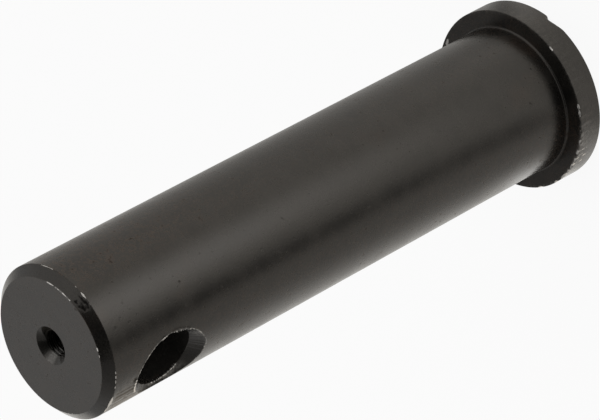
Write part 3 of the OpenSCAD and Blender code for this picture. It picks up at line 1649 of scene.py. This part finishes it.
@dataclass(frozen=True)
class BlackOxide:
    """Black oxide on turned steel: satin, a little brown in places, bright where it is knocked off.

    A noise is given by its scale per metre and its detail. A ramp maps its first two values onto the last
    two, or onto 0 and 1. Painted shade and painted light in the end hole come in with the pin's point values.
    """

    name: str = "black_oxide_steel"
    coat: Colour = (0.0040, 0.0039, 0.0036, 1.0)
    faded: Colour = (0.0165, 0.0150, 0.0130, 1.0)
    brown: Colour = (0.0400, 0.0240, 0.0150, 1.0)
    # Also the colour of painted light in the end hole's entry.
    steel: Colour = (0.56, 0.54, 0.51, 1.0)
    dust: Colour = (0.20, 0.189, 0.171, 1.0)
    # Also the colour of painted shade in the end hole.
    soot_and_shade: Colour = (0.0085, 0.0080, 0.0072, 1.0)
    warm: Colour = (1.0, 0.94, 0.87, 1.0)
    ior: float = 1.5
    rough_low: float = 0.23
    rough_high: float = 0.30
    pit_rough: float = 0.14
    steel_rough: float = 0.36
    grime_and_shade_rough: float = 0.12
    patch_noise: Span = (90.0, 4.0)
    mottle_noise: Span = (230.0, 5.0)
    fine_noise: Span = (1100.0, 4.0)
    grain_noise: Span = (3000.0, 3.0)
    line_noise: Span = (5.0, 4.0)
    pit_ramp: Span = (0.65, 0.72)
    worn_ramp: Span = (0.38, 0.62)
    bare_ramp: Span = (0.38, 0.62)
    satin_ramp: Span = (0.3, 0.7)
    film_ramp: Ramp = (0.46, 0.60, 0.0, 0.95)
    stain_ramp: Ramp = (0.60, 0.78, 0.0, 0.5)
    polish_ramp: Ramp = (-0.6, 0.0, 0.2, 1.0)
    loss_ramp: Ramp = (0.3, 0.7, -0.3, 0.3)
    rub_and_light_ramp: Ramp = (0.3, 0.7, 0.25, 0.75)
    scuff_ramp: Ramp = (0.44, 0.60, 0.15, 1.0)
    speck_ramp: Ramp = (0.52, 0.64, 0.0, 0.6)
    film_specks: float = 0.7
    line_height: float = 0.5
    mottle_height: float = 3.2
    bump_strength: float = 0.35
    bump_distance: float = 0.00004

    def material(self) -> bpy.types.Material:
        """Builds the finish on Object coordinates and the pin's own point values.

        Returns:
            The material.
        """
        material = bpy.data.materials.new(self.name)
        shader = Shader(material)
        place = shader.node("ShaderNodeTexCoord").outputs["Object"]
        patches = shader.noise(place, *self.patch_noise)
        mottle = shader.noise(place, *self.mottle_noise)
        fine = shader.noise(place, *self.fine_noise)
        grain = shader.noise(place, *self.grain_noise)
        pits = shader.rise(fine, *self.pit_ramp)
        worn = shader.mix(shader.rise(shader.mean(grain, mottle), *self.worn_ramp), self.coat, self.faded)
        coated = shader.attribute("film")
        film = shader.math("MULTIPLY", coated, shader.rise(shader.mean(fine, grain), *self.film_ramp))
        grime = shader.attribute("grime")
        stain = shader.math("MAXIMUM", film, shader.rise(patches, *self.stain_ramp))
        kept = shader.math("MULTIPLY", stain, shader.rise(grime, *self.polish_ramp))
        tint = shader.mix(kept, worn, self.brown)
        loss = shader.math("ADD", shader.attribute("bare"), shader.rise(fine, *self.loss_ramp))
        bare = shader.rise(loss, *self.bare_ramp)
        # Worn lips and edges, and the painted light in the end hole's entry, turn the colour to bare steel
        # here.
        rubbed_and_lit = shader.math("MULTIPLY", shader.attribute("rub"), shader.rise(grain, *self.rub_and_light_ramp))
        metal = shader.math("MAXIMUM", bare, rubbed_and_lit)
        scrape = shader.math("MULTIPLY", shader.attribute("scuff"), shader.rise(fine, *self.scuff_ramp))
        scuffed = shader.mix(shader.math("MAXIMUM", scrape, shader.attribute("dusty")), tint, self.dust)
        on_film = shader.math("MULTIPLY", coated, self.film_specks)
        speckled = shader.math("MAXIMUM", shader.rise(patches, *self.speck_ramp), on_film)
        specks = shader.math("MULTIPLY", pits, speckled)
        # Deposits, darker dents and pits, and painted shade in the end hole darken the colour here.
        sooty_and_shaded = shader.math("MAXIMUM", shader.rise(grime, 0.0, 1.0), specks)
        colour = shader.mix(metal, shader.mix(sooty_and_shaded, scuffed, self.soot_and_shade), self.steel)
        satin = shader.rise(mottle, *self.satin_ramp, self.rough_low, self.rough_high)
        pitted = shader.math("ADD", satin, shader.math("MULTIPLY", pits, self.pit_rough))
        dirty = shader.math("ADD", pitted, shader.math("MULTIPLY", grime, self.grime_and_shade_rough))
        rough = shader.rise(bare, 0.0, 1.0, dirty, self.steel_rough)
        lines = shader.math("MULTIPLY", self.lathe_lines(shader), self.line_height)
        waves = shader.math("ADD", lines, shader.math("MULTIPLY", mottle, self.mottle_height))
        marks = shader.math("ADD", waves, shader.attribute("tool"))
        height = shader.math("SUBTRACT", shader.math("ADD", marks, grain), pits)
        bump = shader.node("ShaderNodeBump", {
            "Strength": self.bump_strength,
            "Distance": self.bump_distance,
            "Height": height,
        })
        surface = shader.node("ShaderNodeBsdfPrincipled", {
            "Base Color": colour,
            "Metallic": shader.math("MAXIMUM", metal, sooty_and_shaded),
            "Roughness": rough,
            "IOR": self.ior,
            "Specular Tint": self.warm,
            "Normal": bump.outputs["Normal"],
        })
        shader.node("ShaderNodeOutputMaterial", {"Surface": surface.outputs[0]})
        return material

    def lathe_lines(self, shader: Shader) -> bpy.types.NodeSocket:
        """Fine lines left by turning: a one-dimensional noise along the turned outline's own length.

        Args:
            shader: The finish's node tree.

        Returns:
            The height of the lines.
        """
        scale, detail = self.line_noise
        values = {"W": shader.attribute("lathe"), "Scale": scale, "Detail": detail}
        return shader.node("ShaderNodeTexNoise", values, noise_dimensions="1D").outputs["Fac"]


@dataclass(frozen=True)
class PinBody:
    """The whole pin as one skin, which stands for the solid."""

    sizes: PinSizes
    head: Head
    shank: Shank
    tip: Tip
    cross: CrossHole
    end: EndHole
    wear: Wear
    finish: BlackOxide
    name: str = "pin_body"

    @classmethod
    def from_sizes(cls, sizes: PinSizes) -> "PinBody":
        """Makes each part of the pin from the same sizes."""
        shank = Shank(sizes)
        cross = CrossHole(sizes, shank)
        return cls(
            sizes=sizes,
            head=Head(sizes),
            shank=shank,
            tip=Tip(sizes),
            cross=cross,
            end=EndHole(sizes, cross),
            wear=Wear(sizes),
            finish=BlackOxide(),
        )

    def build_turned(self, skin: Skin) -> tuple[Ids, Floats]:
        """Turns head, shank and tip in one run, with the two windows left open.

        Args:
            skin: Takes the points and faces.

        Returns:
            The grid's point numbers, and the length along the outline at each row.
        """
        outline = np.concatenate([self.head.outline(), self.shank.outline(), self.tip.outline()])
        ids = skin.add(turned(outline, self.shank.turns))
        head_rows = len(self.head.outline())
        skin.cover(ids, self.shank.open_cells(len(outline), head_rows))
        centre = skin.add(np.zeros((1, 3)))
        skin.cap(centre, ids[0])
        step = np.linalg.norm(np.diff(outline, axis=0), axis=1)
        return ids, np.concatenate([[0.0], np.cumsum(step)])

    def build_cross(self, skin: Skin, grid: Ids) -> Ids:
        """Builds both mouths and the bore between them.

        Args:
            skin: Takes the points and faces.
            grid: The turned grid's point numbers.

        Returns:
            The bore wall's point numbers.
        """
        row, column = self.shank.window_loop()
        row = row + len(self.head.outline()) + self.shank.window_start
        half = self.shank.columns // 2
        near_loop = grid[row, column % self.shank.columns]
        far_loop = grid[row, (half - column) % self.shank.columns]
        near = np.vstack([near_loop, skin.add(self.cross.side(1))])
        far = np.vstack([far_loop, skin.add(self.cross.side(-1))])
        wall = skin.add(self.cross.wall())
        skin.cover(near)
        skin.zip_rings(near[-1], wall[0])
        skin.cover(wall, self.cross.open_cells(len(wall)))
        skin.zip_rings(far[-1], wall[-1], inward=False)
        skin.cover(far[::-1])
        return wall

    def build_end(self, skin: Skin, grid: Ids, wall: Ids) -> None:
        """Builds the tapped hole from the tip's face down to its window in the bore.

        Args:
            skin: Takes the points and faces.
            grid: The turned grid's point numbers.
            wall: The bore wall's point numbers.
        """
        loop = self.cross.window_loop(wall)
        rows = skin.add(self.end.rows())
        saddle = skin.add(self.end.saddle(skin.points[loop]))
        shift = round(self.end.start_turn / 360.0 * self.shank.columns)
        skin.zip_rings(np.roll(grid[-1], -shift), rows[0])
        skin.cover(np.vstack([rows, saddle, loop]))

    def lathe(self, points: Floats, grid: Ids, length: Floats) -> Floats:
        """Length along the turned outline at each point, from the row it is in or else from its height.

        Args:
            points: Places in millimetres before wear.
            grid: The turned grid's point numbers.
            length: Length along the outline at each row of that grid.

        Returns:
            The length in millimetres.
        """
        heights = points[grid[:, 0], 2]
        foot = len(self.head.outline()) + self.shank.fillet_points
        along = length[foot] + points[:, 2] - heights[foot]
        along[grid] = length[:, None]
        return along

    def build(self) -> bpy.types.Object:
        """Builds, wears and dresses the pin, and lets it stand for the solid.

        Returns:
            The object.
        """
        skin = Skin()
        grid, length = self.build_turned(skin)
        wall = self.build_cross(skin, grid)
        self.build_end(skin, grid, wall)
        plain = skin.points
        worn, values = self.wear.apply(plain)
        values["lathe"] = self.lathe(plain, grid, length)
        mesh = skin.mesh(self.name, worn, values)
        mesh.materials.append(self.finish.material())
        body = placed(self.name, mesh)
        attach(body, BODY)
        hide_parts(NODE)
        triangles = sum(len(face.vertices) - 2 for face in mesh.polygons)
        LOG.info("%s: %d points, %d triangles", self.name, len(mesh.vertices), triangles)
        return body


def direction(azimuth: float, elevation: float) -> Vector:
    """Unit direction at an azimuth from +X towards +Y and an elevation above the floor, in degrees."""
    turn = math.radians(azimuth)
    lift = math.radians(elevation)
    return Vector((math.cos(lift) * math.cos(turn), math.cos(lift) * math.sin(turn), math.sin(lift)))


@dataclass(frozen=True)
class Shade:
    """A sector of the paper that looks lighter or darker in reflections.

    Its azimuth is in degrees from the camera's. The level changes by near up to the first radius and by far
    from the second, in millimetres.
    """

    azimuth: float
    half_width: float
    near: float
    far: float
    near_r: float
    far_r: float

    def change(self, azimuth: Floats, radius: Floats) -> Floats:
        """Change of level, which fades out from the middle of the sector as a squared cosine.

        Args:
            azimuth: Azimuth from the camera's, in radians.
            radius: Distance from the pin's axis in millimetres.

        Returns:
            The change at each place.
        """
        run = np.clip((radius - self.near_r) / (self.far_r - self.near_r), 0.0, 1.0)
        level = self.near + (self.far - self.near) * run
        return cosine_fade(azimuth, self.azimuth, self.half_width) * level


SHADES = (
    Shade(-75.0, 52.0, -0.18, -0.28, 25.0, 34.0),
    Shade(-38.0, 21.0, -0.15, -0.54, 25.0, 34.0),
    Shade(-38.0, 18.0, 0.00, -0.30, 60.0, 180.0),
    Shade(9.0, 34.0, 0.00, 1.50, 32.0, 190.0),
    Shade(128.0, 75.0, -0.52, -0.45, 28.0, 50.0),
    Shade(84.0, 30.0, -0.25, -0.08, 30.0, 60.0),
    Shade(69.0, 22.0, -0.42, 0.00, 24.0, 29.0),
    Shade(-62.0, 32.0, 0.45, 0.00, 21.0, 25.5),
    Shade(-108.0, 34.0, 0.80, 0.00, 27.0, 44.0),
)


@dataclass(frozen=True)
class Paper:
    """The white paper under the pin: a round sheet, whose light in reflections is uneven. In millimetres."""

    front: float
    name: str = "pale_paper"
    shades: tuple[Shade, ...] = SHADES
    columns: int = 180
    rows: int = 60
    first_r: float = 10.0
    last_r: float = 4000.0
    drop: float = 0.02
    white: float = 0.92
    matt: Colour = (0.9, 0.9, 0.9, 1.0)
    warm: Colour = (1.0, 0.975, 0.925, 1.0)
    warm_ramp: Ramp = (0.0, 1.2, 1.0, 0.1)

    def build(self) -> bpy.types.Object:
        """Builds the sheet as a disc of rings just under the head, with its change of level at each point.

        Returns:
            The sheet.
        """
        radius = np.geomspace(self.last_r, self.first_r, self.rows)
        outline = np.stack([radius, np.full_like(radius, -self.drop)], axis=-1)
        skin = Skin()
        ids = skin.add(turned(outline, evenly_round(self.columns)))
        skin.cover(ids)
        skin.cap(skin.add(np.array([[0.0, 0.0, -self.drop]])), ids[-1][::-1])
        points = skin.points
        azimuth = np.arctan2(points[:, 1], points[:, 0]) - math.radians(self.front)
        reach = np.hypot(points[:, 0], points[:, 1])
        level = np.sum([shade.change(azimuth, reach) for shade in self.shades], axis=0)
        mesh = skin.mesh(self.name, points, {"shade": level})
        mesh.materials.append(self.material())
        sheet = placed(self.name, mesh)
        LOG.info("%s: %.1f m across", self.name, 2.0 * self.last_r * MM)
        return sheet

    def material(self) -> bpy.types.Material:
        """Matt white paper, which the camera and reflections see mostly as plain white.

        Returns:
            The material.
        """
        material = bpy.data.materials.new(self.name)
        shader = Shader(material)
        path = shader.node("ShaderNodeLightPath").outputs
        mirrored = path["Is Glossy Ray"]
        seen = shader.math("MAXIMUM", path["Is Camera Ray"], mirrored)
        seen = shader.math("MAXIMUM", seen, path["Is Transmission Ray"])
        share = shader.math("MULTIPLY", seen, self.white)
        level = shader.math("ADD", shader.math("MULTIPLY", mirrored, shader.attribute("shade")), 1.0)
        warmth = shader.rise(shader.attribute("shade"), *self.warm_ramp)
        tint = shader.mix(shader.math("MULTIPLY", mirrored, warmth), WHITE, self.warm)
        matt = shader.node("ShaderNodeBsdfDiffuse", {"Color": self.matt})
        white = shader.node("ShaderNodeEmission", {"Color": tint, "Strength": level})
        both = shader.node("ShaderNodeMixShader", {0: share, 1: matt.outputs[0], 2: white.outputs[0]})
        shader.node("ShaderNodeOutputMaterial", {"Surface": both.outputs[0]})
        return material


@dataclass(frozen=True)
class Screen:
    """A grey card behind the pin that only the head's underside mirrors, to darken it: painted shade.

    Millimetres and degrees.
    """

    front: float
    name: str = "grey_screen"
    height: float = 46.0
    inner_r: float = 17.0
    outer_r: float = 150.0
    half_turn: float = 80.0
    level: float = 0.28
    columns: int = 40

    def build(self) -> bpy.types.Object:
        """Builds the card as a flat ring sector that faces down and is clear from above.

        Returns:
            The card.
        """
        reach = math.radians(self.half_turn)
        turns = math.radians(self.front) + math.pi + np.linspace(-reach, reach, self.columns)
        outline = np.array([[self.inner_r, self.height], [self.outer_r, self.height]])
        points = turned(outline, turns)
        ids = np.arange(2 * self.columns).reshape(2, self.columns)
        cells = np.stack([ids[0, :-1], ids[0, 1:], ids[1, 1:], ids[1, :-1]], axis=-1)
        mesh = bpy.data.meshes.new(self.name)
        mesh.from_pydata((points.reshape(-1, 3) * MM).tolist(), [], cells.tolist())
        mesh.materials.append(self.material())
        card = placed(self.name, mesh)
        for rays in ("camera", "diffuse", "transmission", "volume_scatter", "shadow"):
            setattr(card, f"visible_{rays}", False)
        LOG.info("%s: level %.2f", self.name, self.level)
        return card

    def material(self) -> bpy.types.Material:
        """Even grey on the lower side, and nothing on the upper side.

        Returns:
            The material.
        """
        material = bpy.data.materials.new(self.name)
        shader = Shader(material)
        behind = shader.node("ShaderNodeNewGeometry").outputs["Backfacing"]
        # Painted shade: the even grey that the head's underside mirrors.
        grey = shader.node("ShaderNodeEmission", {"Color": WHITE, "Strength": self.level})
        clear = shader.node("ShaderNodeBsdfTransparent")
        both = shader.node("ShaderNodeMixShader", {0: behind, 1: grey.outputs[0], 2: clear.outputs[0]})
        shader.node("ShaderNodeOutputMaterial", {"Surface": both.outputs[0]})
        return material


@dataclass(frozen=True)
class DarkPatch:
    """A round patch of the room that gives less light. Degrees, with the azimuth from the camera's."""

    azimuth: float
    elevation: float
    outer: float
    inner: float
    level: float

    def share(self, shader: Shader, outwards: bpy.types.NodeSocket, front: float) -> bpy.types.NodeSocket:
        """Share of light left: 1 outside, the level inside, and between them even in the angle's cosine.

        Args:
            shader: The room's node tree.
            outwards: The direction looked in.
            front: The camera's azimuth.

        Returns:
            The share.
        """
        values = {0: outwards, 1: direction(front + self.azimuth, self.elevation)}
        towards = shader.node("ShaderNodeVectorMath", values, operation="DOT_PRODUCT").outputs["Value"]
        edge = math.cos(math.radians(self.outer))
        core = math.cos(math.radians(self.inner))
        return shader.rise(towards, edge, core, 1.0, self.level)


@dataclass(frozen=True)
class Room:
    """The room's light: brightest overhead, dimmer towards the horizon and dark round the camera."""

    front: float
    low: float = 0.50
    high: float = 0.92
    low_rise: float = 0.10
    high_rise: float = 0.62
    camera_side: DarkPatch = DarkPatch(-19.0, 55.0, 34.0, 26.0, 0.06)
    beside_camera: DarkPatch = DarkPatch(-75.0, 40.0, 50.0, 0.0, 0.35)

    def build(self) -> bpy.types.World:
        """Builds the world: a rise of light with height, times two dark patches, and white to the camera.

        Returns:
            The world.
        """
        world = bpy.data.worlds.new("studio_room")
        bpy.context.scene.world = world
        shader = Shader(world)
        outwards = shader.node("ShaderNodeTexCoord").outputs["Generated"]
        height = shader.node("ShaderNodeSeparateXYZ", {"Vector": outwards}).outputs["Z"]
        glow = shader.rise(height, self.low_rise, self.high_rise, self.low, self.high)
        level = shader.math("MULTIPLY", glow, self.camera_side.share(shader, outwards, self.front))
        level = shader.math("MULTIPLY", level, self.beside_camera.share(shader, outwards, self.front))
        light = shader.node("ShaderNodeBackground", {"Color": WHITE, "Strength": level})
        backdrop = shader.node("ShaderNodeBackground", {"Color": WHITE, "Strength": 1.0})
        direct = shader.node("ShaderNodeLightPath").outputs["Is Camera Ray"]
        both = shader.node("ShaderNodeMixShader", {0: direct, 1: light.outputs[0], 2: backdrop.outputs[0]})
        shader.node("ShaderNodeOutputWorld", {"Surface": both.outputs[0]})
        LOG.info("studio_room: level %.2f to %.2f", self.low, self.high)
        return world


@dataclass(frozen=True)
class PhotoCamera:
    """The camera at the photograph's angle, in degrees and metres."""

    name: str = "photo_camera"
    azimuth: float = 59.92
    elevation: float = 37.28
    roll: float = -118.2
    distance: float = 0.78635
    lens: float = 237.55
    aim: tuple[float, float, float] = (-0.000361, 0.000023, 0.067706)

    def build(self) -> bpy.types.Object:
        """Places the camera: back along its line of sight from the aim, then rolled about that line.

        Returns:
            The camera.
        """
        data = bpy.data.cameras.new(self.name)
        data.lens = self.lens
        camera = placed(self.name, data)
        back = direction(self.azimuth, self.elevation)
        level = Vector((0.0, 0.0, 1.0)).cross(back).normalized()
        upright = back.cross(level)
        roll = math.radians(self.roll)
        right = level * math.cos(roll) + upright * math.sin(roll)
        up = back.cross(right)
        turn = Matrix((right, up, back)).transposed().to_4x4()
        camera.matrix_world = Matrix.Translation(Vector(self.aim) + back * self.distance) @ turn
        bpy.context.scene.camera = camera
        LOG.info("%s: %.2f mm lens", self.name, data.lens)
        return camera


def main() -> None:
    """Builds the studio and the pin in order, and reports each piece."""
    logging.basicConfig(level=logging.INFO, format="%(message)s")
    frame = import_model()
    bpy.context.scene.view_settings.view_transform = "Standard"
    camera = PhotoCamera()
    camera.build()
    Room(camera.azimuth).build()
    Paper(camera.azimuth).build()
    # Painted shade: a grey card darkens the head's underside in reflections.
    Screen(camera.azimuth).build()
    PinBody.from_sizes(PinSizes.from_frame(frame["record"])).build()


if __name__ == "__main__":
    main()
